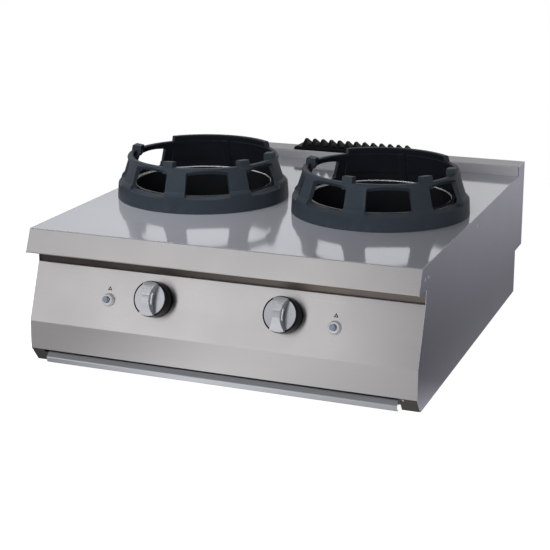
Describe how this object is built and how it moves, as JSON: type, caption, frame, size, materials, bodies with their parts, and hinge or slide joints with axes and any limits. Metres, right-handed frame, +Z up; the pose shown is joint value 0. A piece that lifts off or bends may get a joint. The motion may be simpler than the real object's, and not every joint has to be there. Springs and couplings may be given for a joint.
{
  "type": "wok range",
  "caption": "Countertop gas wok range: stainless body, cast-iron wok rings on a pressed deck, sloping panel with knobs and igniters, drip tray and rear flue grille.",
  "frame": {"origin": "centre of the footprint on the bench, midway between the four feet holes", "axes": "+X to the right seen from the front, +Y to the rear, +Z up"},
  "size_m": [0.8, 0.9162, 0.377],
  "materials": {
    "deck_steel": "polished, mirror-like",
    "front_steel": "brushed, satin",
    "side_steel": "brushed, satin",
    "dark_steel": "matt",
    "zinc_sheet": "galvanised",
    "zinc_pipe": "galvanised",
    "aluminium_tube": "drawn",
    "copper": "drawn copper",
    "ceramic": "glazed",
    "silicone": "matt silicone",
    "tray_steel": "plain mill finish",
    "handle_steel": "brushed",
    "screw_steel": "bright",
    "well_enamel": "gloss enamel",
    "burner_iron": "as cast",
    "brass": "machined",
    "collar_plastic": "satin",
    "button_plastic": "gloss",
    "bezel_metal": "satin",
    "knob_plastic": "gloss",
    "knob_metal": "satin chrome lacquer",
    "grille_iron": "matt enamel",
    "ring_iron": "satin enamel"
  },
  "bodies": {
    "chassis": {"top_plate": "deck_steel", "side_panel_left": "side_steel", "side_panel_right": "side_steel", "control_panel": "front_steel", "front_recess_strip": "dark_steel", "back_panel": "zinc_sheet", "flue_housing": "deck_steel", "flue_duct": "zinc_sheet", "base_rail_left": "zinc_sheet", "base_rail_right": "zinc_sheet", "front_cross_rail": "zinc_sheet", "burner_rail_front": "zinc_sheet", "burner_rail_rear": "zinc_sheet", "heat_shield": "zinc_sheet", "gas_manifold": "zinc_pipe", "inlet_pipe": "zinc_pipe", "pilot_tubes": "aluminium_tube", "thermocouples": "copper", "spark_electrodes": "ceramic", "ignition_leads": "silicone", "side_screws": "screw_steel", "burner_rim_left": "deck_steel", "burner_well_left": "well_enamel", "burner_body_left": "burner_iron", "mixer_tube_left": "burner_iron", "injector_left": "brass", "gas_valve_left": "brass", "supply_pipe_left": "aluminium_tube", "pilot_burner_left": "brass", "igniter_body_left": "collar_plastic", "knob_bezel_left": "bezel_metal", "tray_runner_left": "zinc_sheet", "burner_rim_right": "deck_steel", "burner_well_right": "well_enamel", "burner_body_right": "burner_iron", "mixer_tube_right": "burner_iron", "injector_right": "brass", "gas_valve_right": "brass", "supply_pipe_right": "aluminium_tube", "pilot_burner_right": "brass", "igniter_body_right": "collar_plastic", "knob_bezel_right": "bezel_metal", "tray_runner_right": "zinc_sheet"},
    "push_left": {"spindle_stage_left": "brass"},
    "knob_left": {"knob_left": "knob_plastic", "knob_face_left": "knob_metal", "valve_spindle_left": "brass"},
    "igniter_left": {"igniter_button_left": "button_plastic"},
    "ring_left": {"wok_ring_left": "ring_iron"},
    "cap_left": {"burner_cap_left": "burner_iron"},
    "push_right": {"spindle_stage_right": "brass"},
    "knob_right": {"knob_right": "knob_plastic", "knob_face_right": "knob_metal", "valve_spindle_right": "brass"},
    "igniter_right": {"igniter_button_right": "button_plastic"},
    "ring_right": {"wok_ring_right": "ring_iron"},
    "cap_right": {"burner_cap_right": "burner_iron"},
    "grille": {"flue_grille": "grille_iron"},
    "tray": {"drip_tray": "tray_steel", "tray_handle": "handle_steel"}
  },
  "joints": [
    {"name": "knob_push_left", "type": "slide", "parent": "chassis", "child": "push_left", "axis": [0, 0.9373, -0.3484], "range_m": [0, 0.0035], "stiffness_N_per_m": 800, "springref_m": -0.002},
    {"name": "knob_turn_left", "type": "hinge", "parent": "push_left", "child": "knob_left", "pos_m": [-0.1336, -0.41942, 0.15413], "axis": [0, -0.9373, 0.3484], "range_deg": [0, 270]},
    {"name": "igniter_push_left", "type": "slide", "parent": "chassis", "child": "igniter_left", "axis": [0, 0.9373, -0.3484], "range_m": [0, 0.005], "stiffness_N_per_m": 400, "springref_m": -0.003},
    {"name": "ring_lift_left", "type": "slide", "parent": "chassis", "child": "ring_left", "axis": [0, 0, 1], "range_m": [0, 0.12]},
    {"name": "cap_lift_left", "type": "slide", "parent": "chassis", "child": "cap_left", "axis": [0, 0, 1], "range_m": [0, 0.16]},
    {"name": "knob_push_right", "type": "slide", "parent": "chassis", "child": "push_right", "axis": [0, 0.9373, -0.3484], "range_m": [0, 0.0035], "stiffness_N_per_m": 800, "springref_m": -0.002},
    {"name": "knob_turn_right", "type": "hinge", "parent": "push_right", "child": "knob_right", "pos_m": [0.1336, -0.41942, 0.15413], "axis": [0, -0.9373, 0.3484], "range_deg": [0, 270]},
    {"name": "igniter_push_right", "type": "slide", "parent": "chassis", "child": "igniter_right", "axis": [0, 0.9373, -0.3484], "range_m": [0, 0.005], "stiffness_N_per_m": 400, "springref_m": -0.003},
    {"name": "ring_lift_right", "type": "slide", "parent": "chassis", "child": "ring_right", "axis": [0, 0, 1], "range_m": [0, 0.12]},
    {"name": "cap_lift_right", "type": "slide", "parent": "chassis", "child": "cap_right", "axis": [0, 0, 1], "range_m": [0, 0.16]},
    {"name": "grille_lift", "type": "slide", "parent": "chassis", "child": "grille", "axis": [0, 0, 1], "range_m": [0, 0.06]},
    {"name": "tray_slide", "type": "slide", "parent": "chassis", "child": "tray", "axis": [0, -1, 0], "range_m": [0, 0.55]}
  ]
}
